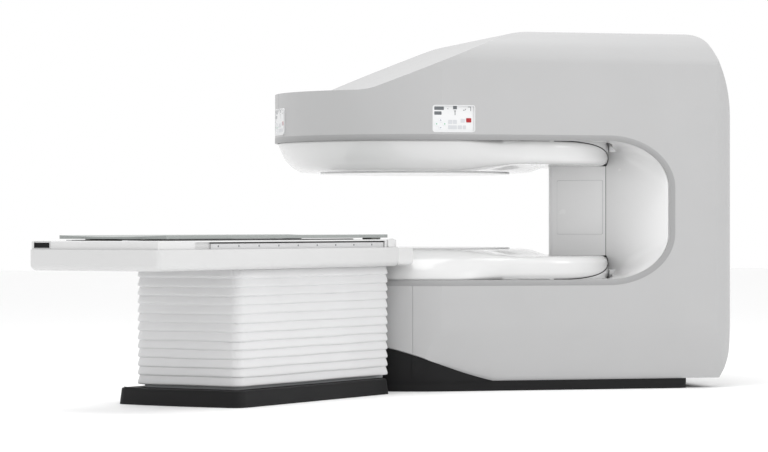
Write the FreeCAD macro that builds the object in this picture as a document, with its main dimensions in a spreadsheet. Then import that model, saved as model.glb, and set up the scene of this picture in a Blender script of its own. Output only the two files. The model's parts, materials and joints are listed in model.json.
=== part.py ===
"""Open MRI scanner: a C-shaped permanent-magnet gantry on one pillar, with its patient table.

Millimetres, +Z up. The origin is on the floor, on the axis through the centres of the two
magnet poles. +X runs to the pillar. The table comes in along the diagonal between -X and -Y,
so every table piece is drawn with its length along X and turned by table_angle.
"""
import FreeCAD, Part
import math
import os
import Sketcher

VEC = FreeCAD.Vector
UP = VEC(0, 0, 1)

SIZES = [
    # gantry outline
    ("gantry_radius", 731), ("gantry_back", 1517), ("back_corner", 150), ("front_top", 1509),
    ("crown_top", 1812), ("ramp_foot", -417), ("ramp_head", 341), ("ramp_foot_bend", 260),
    ("ramp_head_bend", 500), ("crown_round", 170), ("side_overlap", 3),
    ("crown_shy", 175), ("crown_back_round", 100), ("shoulder_height", 1456),
    ("tuck_height", 307), ("tuck_depth", 25), ("tuck_bend", 300), ("cover_wall", 6),
    ("cover_foot", 50.5), ("back_bend", 900),
    ("back_flat_below", 480), ("calf_bend", 450), ("calf_step", 32), ("calf_rise", 120),
    ("heel_bend", 250), ("heel_step", 96),
    # patient opening
    ("iso_height", 906), ("opening_half", 350.5), ("opening_end", 1144),
    ("opening_corner_length", 329), ("opening_corner_height", 236), ("patient_gap", 380),
    ("plate_radius", 495), ("plate_thickness", 8), ("dish_flat_radius", 600),
    ("dish_radius", 716), ("slab_half", 700), ("slab_depth", 117), ("slab_edge", 38),
    ("slab_straight", 534), ("slab_shy", 70), ("pole_wall", 5), ("liner_wall", 5),
    ("liner_seam", 0.5), ("slab_bend", 300), ("slab_side_bend", 380), ("slab_tip", 160),
    ("dish_bend", 110), ("dish_flare", 92), ("dish_rise", 74), ("nose_back", 60),
    ("nose_x", 715), ("nose_side_x", 971), ("nose_side_y", 236), ("nose_round", 45),
    # magnet
    ("magnet_radius", 575), ("magnet_thickness", 86), ("yoke_radius", 640),
    ("yoke_thickness", 165), ("pole_radius", 560), ("pole_thickness", 36),
    ("gradient_radius", 540), ("gradient_thickness", 24), ("transmit_radius", 520),
    ("transmit_thickness", 8), ("column_front", 1180), ("column_half", 520),
    ("column_back", 1440), ("leg_radius", 75), ("seat_gap", 0.3), ("rim_inset", 15),
    # plinth, skirt and dock
    ("plinth_height", 50), ("plinth_inset", 14), ("plinth_back", 1255), ("skirt_wall", 6),
    ("skirt_start", -366), ("skirt_rise", 230), ("skirt_run", 400), ("skirt_dip_run", 190),
    ("skirt_dip_rise", 82.8), ("plinth_corner", 60), ("dock_round", 18), ("flap_lift", 20),
    ("dock_half", 350), ("dock_depth", 145), ("dock_bottom", 632), ("dock_top", 719),
    ("seam", 3), ("flap_width", 66), ("flap_height", 88),
    # table
    ("table_angle", 45), ("table_head", -787), ("shell_length", 2098), ("shell_half", 350),
    ("shell_bottom", 628), ("shell_top", 722), ("shell_wall", 5), ("shell_round", 45),
    ("deck_length", 2080), ("deck_half", 340), ("deck_top", 761), ("deck_skin", 6),
    ("shell_side_round", 20), ("shell_inner_bevel", 16), ("deck_edge", 6),
    ("deck_end_wall", 40), ("deck_seam", 3), ("slot_length", 1680), ("slot_depth", 16),
    ("slot_top", 754), ("slot_start", 113), ("slot_web", 12), ("hatch_inner", 242),
    ("hatch_outer", 327), ("hatch_depth", 30), ("hatch_sill", 7), ("hatch_lintel", 8),
    ("beam_width", 60),
    ("beam_head_shy", 100), ("beam_foot_shy", 118), ("member_drop", 30), ("rail_length", 1535),
    ("rail_play", 5), ("screw_radius", 4.8), ("screw_length", 2.4), ("pocket_play", 0.2),
    ("pocket_depth", 3), ("cap_start", 20), ("cap_width", 9), ("cap_edge", 4),
    ("guide_offset", 150), ("guide_half", 15), ("guide_height", 4), ("guide_head_shy", 120),
    ("guide_foot_shy", 20), ("pad_offset", 230), ("pad_half", 25), ("pad_length", 90),
    ("pad_shy", 10), ("motor_radius", 34), ("motor_length", 150), ("gearbox_length", 90),
    ("gearbox_width", 60), ("gearbox_height", 70), ("drive_reach", 175), ("motor_reach", 130),
    ("rail_height", 27), ("rail_thickness", 8), ("cap_length", 54), ("cap_height", 43),
    ("board_length", 1943), ("board_half", 289), ("board_bottom", 769), ("board_top", 785),
    ("board_dish", 7), ("runner_length", 720), ("base_foot", -2240), ("base_head", -844),
    ("base_half", 345), ("base_height", 76), ("base_bulge", 32), ("base_shoulder", 150),
    ("base_foot_edge", 30), ("base_head_edge", 12), ("base_end_bend", 200),
    ("bellows_corner", 24), ("bellows_wall", 3), ("frame_reach", 8), ("frame_rim", 30),
    ("stage_overlap", 8), ("runner_half", 12), ("runner_shy", 20), ("bellows_foot", -2130),
    ("bellows_head", -758), ("bellows_half", 282), ("bellows_bottom", 90), ("bellows_top", 600),
    ("pleat_depth", 26), ("pleat_count", 12), ("lift_travel", 250), ("tube_side", 190),
    ("tube_wall", 8), ("tube_gap", 0.3), ("outer_tube_top", 330), ("middle_tube_top", 470),
    ("column_foot", -1850), ("column_head", -1080),
    # control panels
    ("panel_width", 221), ("panel_height", 137), ("panel_centre", 1363), ("panel_round", 14),
    ("panel_recess", 10), ("panel_depth", 32), ("panel_rim", 5), ("fascia_thickness", 2),
    ("key_stand", 1.4), ("key_gap", 0.3), ("key_depth", 10), ("key_travel", 1.5),
    ("key_corner", 3), ("window_depth", 60),
]

doc = FreeCAD.newDocument("mri_scanner")
sheet = doc.addObject("Spreadsheet::Sheet", "Sizes")
for row, (alias, value) in enumerate(SIZES, start=1):
    sheet.set(f"A{row}", alias)
    sheet.set(f"B{row}", str(value))
    sheet.setAlias(f"B{row}", alias)
doc.recompute()
subparts = []


def size(alias):
    """A driving dimension, read back from the sheet."""
    return float(sheet.get(alias))


def keep(thing, label):
    """Name a sub-part and list it for export."""
    thing.Label = label
    subparts.append(thing)
    return thing


def bind(thing, **expressions):
    """Bind properties to expressions on the sheet; double underscores stand for dots."""
    for name, expression in expressions.items():
        thing.setExpression(name.replace("__", "."), expression)
    return thing


def place(thing, x=None, y=None, z=None, turn=None):
    """Bind an object's placement to expressions on the sheet."""
    for axis, expression in (("x", x), ("y", y), ("z", z)):
        if expression:
            thing.setExpression(f"Placement.Base.{axis}", expression)
    if turn:
        thing.Placement.Rotation = FreeCAD.Rotation(UP, 1)
        thing.setExpression("Placement.Rotation.Angle", turn)
    return thing


def box(name, length, width, height, x, y, z):
    """A box whose sizes and lowest corner are expressions on the sheet."""
    thing = doc.addObject("Part::Box", name)
    bind(thing, Length=length, Width=width, Height=height)
    return place(thing, x, y, z)


def cut(name, base, *tools):
    """Base less its tools."""
    thing = doc.addObject("Part::Cut", name)
    thing.Base = base
    thing.Tool = tools[0] if len(tools) == 1 else group(name + "_tools", *tools)
    return thing


def group(name, *pieces):
    """Several solids kept in one object; those that touch are joined."""
    thing = doc.addObject("Part::MultiFuse", name)
    thing.Shapes = list(pieces)
    return thing


def feature(label, shape, turn=0.0):
    """A sub-part whose shape is made by code, with its placement set afterwards."""
    thing = doc.addObject("Part::Feature", label)
    thing.Shape = shape
    turning = FreeCAD.Placement(VEC(0, 0, 0), FreeCAD.Rotation(UP, turn))
    thing.Placement = turning.multiply(shape.Placement)
    return keep(thing, label)


def disc(label, radius, bottom, thickness):
    """A flat disc about the pole axis, as a padded circle."""
    body = doc.addObject("PartDesign::Body", label)
    sketch = body.newObject("Sketcher::SketchObject", label + "_circle")
    ground = next(f for f in body.Origin.OriginFeatures if f.Role == "XY_Plane")
    sketch.AttachmentSupport = [(ground, "")]
    sketch.MapMode = "FlatFace"
    sketch.addGeometry(Part.Circle(VEC(0, 0, 0), UP, 100))
    sketch.addConstraint(Sketcher.Constraint("Coincident", 0, 3, -1, 1))
    index = sketch.addConstraint(Sketcher.Constraint("Radius", 0, 100))
    sketch.setExpression(f"Constraints[{index}]", radius)
    pad = body.newObject("PartDesign::Pad", label + "_pad")
    pad.Profile = sketch
    bind(pad, Length=thickness)
    place(body, z=bottom)
    return keep(body, label)


def outline(points, to_space):
    """A closed wire through corner points (a, b, radius), each corner rounded by its radius."""
    corners = [VEC(a, b, 0) for a, b, radius in points]
    stops = []
    edges = []
    for i, corner in enumerate(corners):
        radius = points[i][2]
        back = (corners[i - 1] - corner).normalize()
        ahead = (corners[(i + 1) % len(corners)] - corner).normalize()
        if radius:
            half = back.getAngle(ahead) / 2
            reach = radius / math.tan(half)
            middle = (back + ahead).normalize() * (radius / math.sin(half) - radius)
            stops.append((corner + back * reach, corner + middle, corner + ahead * reach))
        else:
            stops.append((corner, None, corner))
    for i, (start, middle, end) in enumerate(stops):
        last = stops[i - 1][2]
        if last.distanceToPoint(start) > 1e-4:
            edges.append(Part.LineSegment(to_space(last), to_space(start)).toShape())
        if middle:
            edges.append(Part.Arc(to_space(start), to_space(middle), to_space(end)).toShape())
    return Part.Wire(Part.__sortEdges__(edges))


def prism(points, to_space, along):
    """The solid that an outline sweeps along a straight vector."""
    return Part.Face(outline(points, to_space)).extrude(along)


def flat(z):
    """Maps outline coordinates to a level plane."""
    return lambda p: VEC(p.x, p.y, z)


def upright(y):
    """Maps outline coordinates to a plane across Y: a along X and b up."""
    return lambda p: VEC(p.x, y, p.y)


def crosswise(x):
    """Maps outline coordinates to a plane across X: a along Y and b up."""
    return lambda p: VEC(x, p.x, p.y)


def block(x0, x1, y0, y1, z0, z1):
    """A plain block between two corners."""
    return Part.makeBox(x1 - x0, y1 - y0, z1 - z0, VEC(x0, y0, z0))


def mirrored(shape):
    """The shape's twin across the mid-plane of the patient gap."""
    return shape.mirror(VEC(0, 0, size("iso_height")), UP)


def turned(shape):
    """The shape turned to the table's direction."""
    copy = shape.copy()
    copy.rotate(VEC(0, 0, 0), UP, size("table_angle"))
    return copy


REACH = 4000  # longer than any cutting tool has to be
iso = size("iso_height")
wide = size("gantry_radius")
wall = size("cover_wall")
ceiling = iso + size("opening_half")
floor = iso - size("opening_half")


def gantry_block(inset, foot):
    """The gantry's outer body, drawn in by inset: plan, side profile and end section in one."""
    radius = wide - inset
    back = size("gantry_back") - inset
    corner = size("back_corner") - inset
    front = size("front_top") - inset
    crown = size("crown_top") - inset
    bend = back - size("crown_shy")
    lip = radius - size("tuck_depth")
    half = radius + size("side_overlap")
    plan = prism([
        (-radius, -half, half - 0.5), (back, -half, corner),
        (back, half, corner), (-radius, half, half - 0.5),
    ], flat(foot), VEC(0, 0, REACH))
    profile = prism([
        (-REACH, foot, 0), (-REACH, front, 0), (size("ramp_foot"), front, size("ramp_foot_bend")),
        (size("ramp_head"), crown, size("ramp_head_bend")),
        (bend, crown, size("crown_back_round")),
        (back, size("shoulder_height"), size("back_bend")),
        (back, iso - size("back_flat_below"), size("calf_bend")),
        (back - size("calf_step"), foot + size("calf_rise"), size("heel_bend")),
        (back - size("heel_step"), foot, 0),
    ], upright(-REACH), VEC(0, 2 * REACH, 0))
    top = crown + size("side_overlap")
    section = prism([
        (-lip, foot, 0), (lip, foot, 0), (radius, size("tuck_height"), size("tuck_bend")),
        (radius, top, size("crown_round")), (-radius, top, size("crown_round")),
        (-radius, size("tuck_height"), size("tuck_bend")),
    ], crosswise(-REACH), VEC(2 * REACH, 0, 0))
    return profile.common(section).common(plan)


def opening_wire(y, end, length, height, spread):
    """The outline of the patient opening at one depth, with elliptical inner corners."""
    top = ceiling + spread
    mouth = -wide - 40
    edges = [Part.LineSegment(VEC(mouth, y, top), VEC(end - length, y, top)).toShape()]
    for side in (1, -1):
        middle = VEC(end - length, y, iso + side * (size("opening_half") - height))
        tall = height + spread
        long = length + spread
        rise = VEC(middle.x, y, middle.z + side * tall)
        tip = VEC(middle.x + long, y, middle.z)
        if long > tall:
            curve = Part.Ellipse(tip, rise, middle)
        else:
            curve = Part.Ellipse(rise, tip, middle)
        edges.append(Part.Arc(curve, *sorted_span(curve, rise, tip)).toShape())
        if side == 1:
            low = VEC(tip.x, y, iso - (size("opening_half") - height))
            edges.append(Part.LineSegment(tip, low).toShape())
    low = floor - spread
    edges.append(Part.LineSegment(VEC(end - length, y, low), VEC(mouth, y, low)).toShape())
    edges.append(Part.LineSegment(VEC(mouth, y, low), VEC(mouth, y, top)).toShape())
    return Part.Wire(Part.__sortEdges__(edges))


def sorted_span(curve, start, end):
    """The quarter of an ellipse between two of its own points, as parameters."""
    a = curve.parameter(start)
    b = curve.parameter(end)
    if (b - a) % (2 * math.pi) > math.pi:
        a, b = b, a
    return (a, b) if b > a else (a, b + 2 * math.pi)


def opening_bag(spread):
    """The air of the patient opening towards -Y: narrow at the pillar, flared at the side."""
    small = size("slab_edge")
    wires = [
        opening_wire(-wide - 1, size("opening_end"), size("opening_corner_length"),
                     size("opening_corner_height"), spread),
        opening_wire(-size("nose_side_y"), size("nose_side_x"), small, small, spread),
    ]
    return Part.makeLoft(wires, True, True)


def slab(inset, top):
    """The upper pole cover's flat tier, from the dish to the pillar nose."""
    half = size("slab_half") - inset
    side = size("nose_side_y") - inset
    tip = size("nose_side_x") - inset
    start = size("slab_straight")
    shy = size("slab_shy")
    bottom = ceiling - size("slab_depth") + inset
    bend = size("slab_bend")
    side_bend = size("slab_side_bend")
    corner = size("slab_tip")
    solid = prism([
        (0, shy - half, bend), (start / 2, -half, bend), (start, -half, side_bend),
        (tip, -side - corner, corner), (tip, side + corner, corner), (start, half, side_bend),
        (start / 2, half, bend), (0, half - shy, bend), (-start / 2, 0, 0),
    ], flat(bottom), VEC(0, 0, top - bottom))
    edges = [e for e in solid.Edges
             if abs(e.BoundBox.ZMax - bottom) < 0.01 and e.BoundBox.XMax > 1
             and e.BoundBox.XMin > -1]
    return solid.makeFillet(size("slab_edge") - inset, edges)


def dish(inset, top):
    """The round part of the upper pole cover, hanging below the arm."""
    flat_z = iso + size("patient_gap") / 2 + size("plate_thickness") + inset
    ring = size("dish_flat_radius") - inset
    rim = size("dish_radius") - inset
    bend = size("dish_bend")
    section = [
        (0, flat_z, 0), (ring, flat_z, bend),
        (ring + size("dish_flare"), flat_z + size("dish_rise"), bend),
        (rim, ceiling - 2, 0), (rim, top, 0), (0, top, 0),
    ]
    return Part.Face(outline(section, upright(0))).revolve(VEC(0, 0, 0), UP, 360)


def pole_solid(inset, top):
    """The whole outer form of the upper pole cover."""
    return dish(inset, top).fuse(slab(inset, top)).removeSplitter()


def nose_plan(inset):
    """The pillar nose in plan: a blunt wedge whose near flank faces along the table."""
    side = size("nose_side_y")
    back = size("nose_side_x")
    tail = back + size("nose_back")
    shift = inset * math.sqrt(2)
    return [
        (size("nose_x") + shift, 0, size("nose_round") - inset),
        (back + shift, -side, 0), (tail, -side, 0), (tail, side, 0),
        (back + shift, side, 0),
    ]


# ---- the magnet and its iron circuit -------------------------------------------------

plate_low = "Sizes.iso_height + Sizes.patient_gap / 2"
stack = [
    ("pole_plate", "plate_radius", "plate_thickness", "0"),
    ("transmit_coil", "transmit_radius", "transmit_thickness", "Sizes.pole_wall + Sizes.seat_gap"),
    ("gradient_coil", "gradient_radius", "gradient_thickness", "0"),
    ("pole_piece", "pole_radius", "pole_thickness", "0"),
    ("magnet_disc", "magnet_radius", "magnet_thickness", "0"),
    ("yoke", "yoke_radius", "yoke_thickness", "0"),
]
level = plate_low
yoke_level = ""
for piece, radius, thickness, gap in stack:
    level = f"{level} + {gap}"
    if piece == "yoke":
        yoke_level = level
    else:
        disc(f"upper_{piece}", f"Sizes.{radius}", level, f"Sizes.{thickness}")
        mirror_level = f"2 * Sizes.iso_height - ({level}) - Sizes.{thickness}"
        disc(f"lower_{piece}", f"Sizes.{radius}", mirror_level, f"Sizes.{thickness}")
    level = f"{level} + Sizes.{thickness}"

leg_foot = "Sizes.plinth_height + Sizes.seat_gap"
for side in ("upper", "lower"):
    z = yoke_level
    if side == "lower":
        z = f"2 * Sizes.iso_height - ({yoke_level}) - Sizes.yoke_thickness"
    round_end = doc.addObject("Part::Cylinder", side + "_yoke_round")
    bind(round_end, Radius="Sizes.yoke_radius", Height="Sizes.yoke_thickness")
    place(round_end, z=z)
    straight = box(side + "_yoke_straight", "Sizes.column_back", "2 * Sizes.column_half",
                   "Sizes.yoke_thickness", None, "-Sizes.column_half", z)
    pieces = [round_end, straight]
    if side == "lower":
        for across in ("-", ""):
            for x in ("-0.5 * Sizes.yoke_radius", "Sizes.column_front"):
                leg = doc.addObject("Part::Cylinder", "yoke_leg")
                bind(leg, Radius="Sizes.leg_radius", Height=f"{z} - {leg_foot}")
                place(leg, x, f"{across}0.5 * Sizes.yoke_radius", leg_foot)
                pieces.append(leg)
    keep(group(side + "_iron_yoke", *pieces), side + "_iron_yoke")
lower_yoke_top = f"2 * Sizes.iso_height - ({yoke_level})"
keep(box("iron_column", "Sizes.column_back - Sizes.column_front", "2 * Sizes.column_half",
         f"{yoke_level} - ({lower_yoke_top})", "Sizes.column_front", "-Sizes.column_half",
         lower_yoke_top), "iron_column")

# ---- covers ----------------------------------------------------------------------------

foot = size("cover_foot")
half_seam = size("seam") / 2
near_half = block(-REACH, REACH, -REACH, -half_seam, 0, REACH)
bag = opening_bag(0).fuse(block(-wide - 40, size("nose_side_x"), -size("nose_side_y"), 10,
                                floor, ceiling))
near_shell = gantry_block(0, foot).common(near_half)
near_shell = near_shell.cut(gantry_block(wall, foot - 1).common(
    block(-REACH, REACH, -REACH, 10, 0, REACH))).cut(bag)
far_shell = near_shell.mirror(VEC(0, 0, 0), VEC(0, 1, 0))

dock_half = size("dock_half")
dock_tool = turned(block(-REACH, -wide / 4, -dock_half, dock_half, 0, floor))
dock_shadow = turned(block(-REACH, 0, -dock_half - half_seam, dock_half + half_seam, 0, floor))


def skirt_tool(spread):
    """Everything under the skirt's curved upper edge, swept across the table's direction."""
    start = size("skirt_start")
    low = foot + spread
    rise = size("skirt_rise")
    foot_point = VEC(start, -REACH, low)
    dip_point = VEC(start - size("skirt_dip_run"), -REACH, low + size("skirt_dip_rise"))
    top_point = VEC(start - size("skirt_run"), -REACH, low + rise)
    edge = Part.Arc(foot_point, dip_point, top_point).toShape()
    sides = [top_point, VEC(-REACH, -REACH, low + rise), VEC(-REACH, -REACH, 0),
             VEC(start, -REACH, 0), foot_point]
    lines = [Part.LineSegment(a, b).toShape() for a, b in zip(sides, sides[1:])]
    wire = Part.Wire(Part.__sortEdges__([edge] + lines))
    return turned(Part.Face(wire).extrude(VEC(0, 2 * REACH, 0)))


window_round = size("panel_round")
half_width = size("panel_width") / 2
half_height = size("panel_height") / 2
panel_middle = size("panel_centre")


def panel_prism(margin, front, depth):
    """A round-cornered block at the control panel's place, seen from -Y."""
    w = half_width - margin
    t = half_height - margin
    r = window_round - margin
    return prism([
        (-w, panel_middle - t, r), (w, panel_middle - t, r),
        (w, panel_middle + t, r), (-w, panel_middle + t, r),
    ], upright(-front), VEC(0, depth, 0))


windows = []
for turn in (0, -90):
    window = panel_prism(0, wide + size("window_depth") / 3, size("window_depth"))
    window.rotate(VEC(0, 0, 0), UP, turn)
    windows.append(window)

for label, half_shell in (("near_side_cover", near_shell), ("far_side_cover", far_shell)):
    side_cover = half_shell.cut(dock_shadow).cut(skirt_tool(size("seat_gap")))
    for window in windows:
        side_cover = side_cover.cut(window)
    pieces = sorted(side_cover.Solids, key=lambda solid: -solid.Volume)
    feature(label, pieces[0])
    if len(pieces) > 1:
        feature("front_corner_cover", pieces[1])
feature("dock_front_cover", near_shell.common(dock_tool).cut(skirt_tool(size("seat_gap"))))


def front_prism(half, back, corner, low, high):
    """An upright prism with the gantry's round front, between two levels."""
    return prism([
        (-half, -half, half - 0.5), (back, -half, corner),
        (back, half, corner), (-half, half, half - 0.5),
    ], flat(low), VEC(0, 0, high - low))


skirt_half = wide - size("skirt_wall")
skirt_low = size("plinth_height") + size("seat_gap")
skirt = front_prism(skirt_half, wide / 2, 0, skirt_low, floor).common(skirt_tool(0))
skirt_half = skirt_half - size("skirt_wall")
feature("skirt", skirt.cut(front_prism(skirt_half, wide / 2 + 1, 0, 0, floor + 1)))

plinth_half = wide - size("plinth_inset")
feature("plinth", front_prism(plinth_half, size("plinth_back"), size("plinth_corner"), 0,
                               size("plinth_height")))

pole_top = ceiling + size("pole_wall")
pole_shell = pole_solid(0, pole_top).cut(pole_solid(size("pole_wall"), pole_top + 1))
rim_block = gantry_block(size("rim_inset"), foot)
pole_shell = pole_shell.common(rim_block)
feature("upper_pole_cover", pole_shell)
feature("lower_pole_cover", mirrored(pole_shell))

above = pole_top + size("slab_edge")
seam_gap = size("liner_seam")
slab_clear = slab(-seam_gap, above)
liner = opening_bag(size("liner_wall")).cut(opening_bag(0))
liner = liner.cut(slab_clear).cut(mirrored(slab_clear)).cut(dish(-seam_gap, above))
liner = liner.cut(mirrored(dish(-seam_gap, above)))
liner = liner.common(rim_block).common(
    block(size("slab_straight") / 2, REACH, -REACH, -size("nose_side_y") - seam_gap, 0, REACH))
feature("near_liner", liner)
feature("far_liner", liner.mirror(VEC(0, 0, 0), VEC(0, 1, 0)))

nose_low = floor + size("slab_depth") + size("seat_gap")
nose_tall = 2 * (iso - nose_low)
nose = prism(nose_plan(0), flat(nose_low), VEC(0, 0, nose_tall))
nose = nose.cut(prism(nose_plan(size("pole_wall")), flat(nose_low), VEC(0, 0, nose_tall)))
feature("pillar_nose_panel", nose)

# ---- docking block at the front, and the flaps beside it ---------------------------------

dock_head = size("table_head") + 1
dock = block(dock_head, dock_head + size("dock_depth"), -dock_half, dock_half,
             size("dock_bottom"), size("dock_top"))
dock = dock.makeFillet(size("dock_round"), [
    e for e in dock.Edges if e.BoundBox.ZMax < size("dock_bottom") + 1])
round_front = Part.makeCylinder(wide + size("side_overlap"), REACH, VEC(0, 0, 0), UP)
dock = dock.cut(mirrored(dish(-size("seat_gap"), above))).cut(
    round_front.common(block(-REACH, REACH, -REACH, REACH, 0, floor + size("slab_edge"))))
feature("dock_block", turned(dock))

flap = prism([
    (-size("skirt_wall"), 0, 0), (0, 0, 0), (0, size("flap_height"), 0),
    (-size("skirt_wall"), size("flap_height"), 0),
], upright(0), VEC(0, size("flap_width"), 0))
flaps = []
for turn in (-104, -166):
    leaf = flap.copy()
    leaf.translate(VEC(wide + size("seat_gap"), -size("flap_width") / 2,
                       foot + size("flap_lift")))
    leaf.rotate(VEC(0, 0, 0), UP, turn)
    flaps.append(leaf)
feature("skirt_flaps", Part.makeCompound(flaps))

# ---- patient table: fixed base and telescopic columns ------------------------------------

turn = size("table_angle")
table = "Sizes.table_angle"
base_foot = size("base_foot")
base_half = size("base_half")
base_middle = base_half - size("base_shoulder")
foot_edge = size("base_foot_edge")
head_edge = size("base_head_edge")
end_bend = size("base_end_bend")
base_corner = base_foot + size("base_bulge")
feature("table_base", prism([
    (base_corner, -base_half, foot_edge), (size("base_head"), -base_half, head_edge),
    (size("base_head"), base_half, head_edge), (base_corner, base_half, foot_edge),
    (base_foot, base_middle, end_bend), (base_foot, -base_middle, end_bend),
], flat(0), VEC(0, 0, size("base_height"))), turn)


def ring(half, foot_end, head_end, z):
    """A round-cornered rectangle about the bellows, at one level."""
    corner = size("bellows_corner")
    return outline([
        (foot_end, -half, corner), (head_end, -half, corner),
        (head_end, half, corner), (foot_end, half, corner),
    ], flat(z))


def bellows_wires(depth):
    """The folds of the bellows from the bottom up, drawn in by depth."""
    count = int(size("pleat_count"))
    low = size("bellows_bottom")
    pitch = (size("bellows_top") - low) / count
    fold = size("pleat_depth")
    wires = []
    for k in range(2 * count + 1):
        draw = depth + (0 if k % 2 else fold)
        wires.append(ring(size("bellows_half") - draw, size("bellows_foot") + draw,
                          size("bellows_head") - draw, low + k * pitch / 2))
    return wires


bellows = Part.makeLoft(bellows_wires(0), True, True)
feature("bellows", bellows.cut(
    Part.makeLoft(bellows_wires(size("bellows_wall")), True, True)), turn)

fold_inset = size("pleat_depth") - size("frame_reach")
frame_half = size("bellows_half") - fold_inset
frame_foot = size("bellows_foot") + fold_inset
frame_head = size("bellows_head") - fold_inset
frame_rim = size("frame_rim")
frames = {
    "bellows_foot_frame": (size("base_height"), size("bellows_bottom") - size("seat_gap")),
    "lift_head_frame": (size("bellows_top") + size("seat_gap"), size("shell_bottom")),
}
for label, (low, high) in frames.items():
    rim = Part.Face(ring(frame_half, frame_foot, frame_head, low))
    hole = Part.Face(ring(frame_half - frame_rim, frame_foot + frame_rim,
                          frame_head - frame_rim, low))
    body = rim.extrude(VEC(0, 0, high - low))
    if label == "bellows_foot_frame":
        body = body.cut(hole.extrude(VEC(0, 0, high - low)))
    feature(label, body, turn)

STAGES = [
    # name, inset from the outer tube, lowest level, highest level
    ("lift_outer_tubes", "0", "Sizes.base_height", "Sizes.outer_tube_top"),
    ("lift_middle_tubes", "Sizes.tube_wall + Sizes.tube_gap",
     "Sizes.base_height + Sizes.lift_travel / 2 + Sizes.stage_overlap", "Sizes.middle_tube_top"),
    ("lift_inner_tubes", "2 * (Sizes.tube_wall + Sizes.tube_gap)",
     "Sizes.base_height + Sizes.lift_travel + 2 * Sizes.stage_overlap",
     "Sizes.bellows_top + Sizes.seat_gap"),
]
for label, inset, low, high in STAGES:
    tubes = []
    for end in ("foot", "head"):
        parts = []
        for kind, extra in (("solid", "0"), ("bore", "Sizes.tube_wall")):
            side = f"(Sizes.tube_side - 2 * ({inset}) - 2 * {extra})"
            parts.append(box(f"{label}_{end}_{kind}", side, side, f"{high} - ({low})",
                             f"Sizes.column_{end} - {side} / 2", f"-{side} / 2", low))
        tubes.append(cut(f"{label}_{end}", *parts))
    keep(place(group(label, *tubes), turn=table), label)

# ---- patient table: lifting shell, deck and rails ----------------------------------------

head = size("table_head")
shell_foot = head - size("shell_length")
shell_half = size("shell_half")
deck_head = head - size("deck_seam")
deck_foot = deck_head - size("deck_length")
deck_half = size("deck_half")
skin = size("shell_wall")

tray = block(shell_foot, head, -shell_half, shell_half, size("shell_bottom"), size("shell_top"))
long_edges = [e for e in tray.Edges
              if e.BoundBox.ZMax < size("shell_bottom") + 1 and e.BoundBox.XLength > 100]
tray = tray.makeFillet(size("shell_side_round"), long_edges)
end_edges = [e for e in tray.Edges if e.BoundBox.ZMax < size("shell_bottom") + 1
             and e.BoundBox.XMax < shell_foot + 1]
tray = tray.makeFillet(size("shell_round"), end_edges)
hollow = block(shell_foot + skin, head - skin, -shell_half + skin, shell_half - skin,
               size("shell_bottom") + skin, size("shell_top") + 1)
hollow = hollow.makeChamfer(size("shell_round") - skin, [
    e for e in hollow.Edges if e.BoundBox.ZMax < size("shell_bottom") + skin + 1
    and e.BoundBox.XMax < shell_foot + skin + 1])
hollow = hollow.makeChamfer(size("shell_inner_bevel"), [
    e for e in hollow.Edges if e.BoundBox.ZMax < size("shell_bottom") + skin + 1
    and e.BoundBox.XLength > 100])
feature("table_shell", tray.cut(hollow), turn)

beams = []
for side in ("-0.5 * Sizes.bellows_half", "0.5 * Sizes.bellows_half - Sizes.beam_width"):
    beams.append(box("deck_beam", "Sizes.shell_length - Sizes.beam_foot_shy - Sizes.beam_head_shy",
                     "Sizes.beam_width",
                     "Sizes.shell_top - Sizes.shell_bottom - Sizes.shell_wall",
                     "Sizes.table_head - Sizes.shell_length + Sizes.beam_foot_shy", side,
                     "Sizes.shell_bottom + Sizes.shell_wall"))
for k in range(4):
    middle = f"Sizes.column_foot + {k} / 3 * (Sizes.column_head - Sizes.column_foot)"
    beams.append(box("deck_crossmember", "Sizes.beam_width", "Sizes.bellows_half",
                     "Sizes.shell_top - Sizes.shell_bottom - Sizes.shell_wall"
                     " - Sizes.member_drop",
                     f"{middle} - Sizes.beam_width / 2",
                     "-0.5 * Sizes.bellows_half", "Sizes.shell_bottom + Sizes.shell_wall"))
keep(place(group("deck_frame", *beams), turn=table), "deck_frame")

slot_head = head - size("slot_start")
slot_foot = slot_head - size("slot_length")
slot_low = size("shell_top")
slot_margin = size("slot_depth") + size("slot_web")
end_wall = size("deck_end_wall")
deck = block(deck_foot, deck_head, -deck_half, deck_half, size("shell_top"), size("deck_top"))
deck = deck.makeFillet(size("deck_edge"), [
    e for e in deck.Edges if e.BoundBox.ZMin > size("deck_top") - 1])
deck = deck.cut(block(deck_foot + end_wall, deck_head - end_wall, -deck_half + slot_margin,
                      deck_half - slot_margin, size("shell_top") - 1,
                      size("deck_top") - size("deck_skin")))
for side in (-1, 1):
    inner = side * (deck_half - size("slot_depth"))
    outer_y = side * (deck_half + 1)
    deck = deck.cut(block(slot_foot, slot_head, min(inner, outer_y), max(inner, outer_y),
                          slot_low - 1, size("slot_top")))
deck = deck.cut(block(deck_foot - 1, deck_foot + size("hatch_depth"), size("hatch_inner"),
                      size("hatch_outer"), size("shell_top") + size("hatch_sill"),
                      size("deck_top") - size("hatch_lintel")))
feature("upper_deck", deck, turn)

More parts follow.
